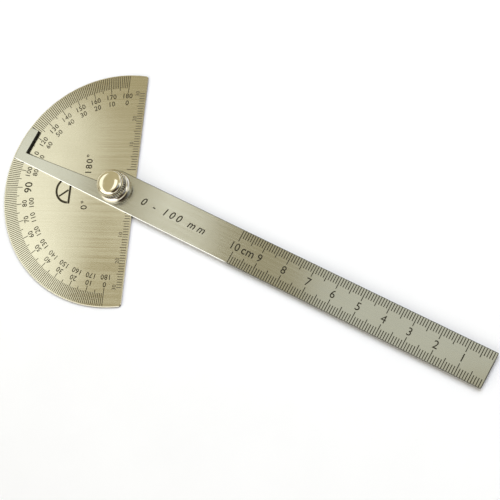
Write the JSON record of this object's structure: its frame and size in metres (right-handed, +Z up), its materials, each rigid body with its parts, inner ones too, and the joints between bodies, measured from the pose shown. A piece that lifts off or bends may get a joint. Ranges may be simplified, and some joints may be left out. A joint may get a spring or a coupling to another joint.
{
  "type": "protractor",
  "caption": "Flat metal semicircular protractor with a hooked, swinging ruler arm clamped at the centre by a knurled nut.",
  "frame": {"origin": "on the pivot axis, at the flat underside of the pivot stud's head, level with the underside of the scale plate", "axes": "+Z up through the pivot, +X out of the plate's straight edge (the 90 degree mark is at -X), +Y along the straight edge"},
  "size_m": [0.1876, 0.1127, 0.009],
  "materials": {
    "scale_plate": "satin, brushed across, dark etched scale",
    "ruler_arm": "satin, brushed lengthwise, dark etched scale",
    "pivot_stud": "turned, plain",
    "spacer_washer": "plain rolled shim",
    "clamp_washer": "polished nickel plate",
    "knurled_nut": "polished nickel plate with a straight knurl"
  },
  "bodies": {
    "head": {"scale_plate": "scale_plate", "pivot_stud": "pivot_stud", "spacer_washer": "spacer_washer"},
    "arm": {"ruler_arm": "ruler_arm"},
    "washer": {"clamp_washer": "clamp_washer"},
    "nut": {"knurled_nut": "knurled_nut"}
  },
  "joints": [
    {"name": "arm_swing", "type": "hinge", "parent": "head", "child": "arm", "pos_m": [0, 0, 0.0017], "axis": [0, 0, 1], "continuous": true},
    {"name": "washer_lift", "type": "slide", "parent": "head", "child": "washer", "axis": [0, 0, 1], "range_m": [0, 0.0021]},
    {"name": "nut_turn", "type": "hinge", "parent": "washer", "child": "nut", "pos_m": [0, 0, 0.0045], "axis": [0, 0, 1], "range_deg": [0, 1080]}
  ],
  "couplings": [
    {"joint": "nut_turn", "follows": "washer_lift", "rad_per_m": 8976}
  ]
}
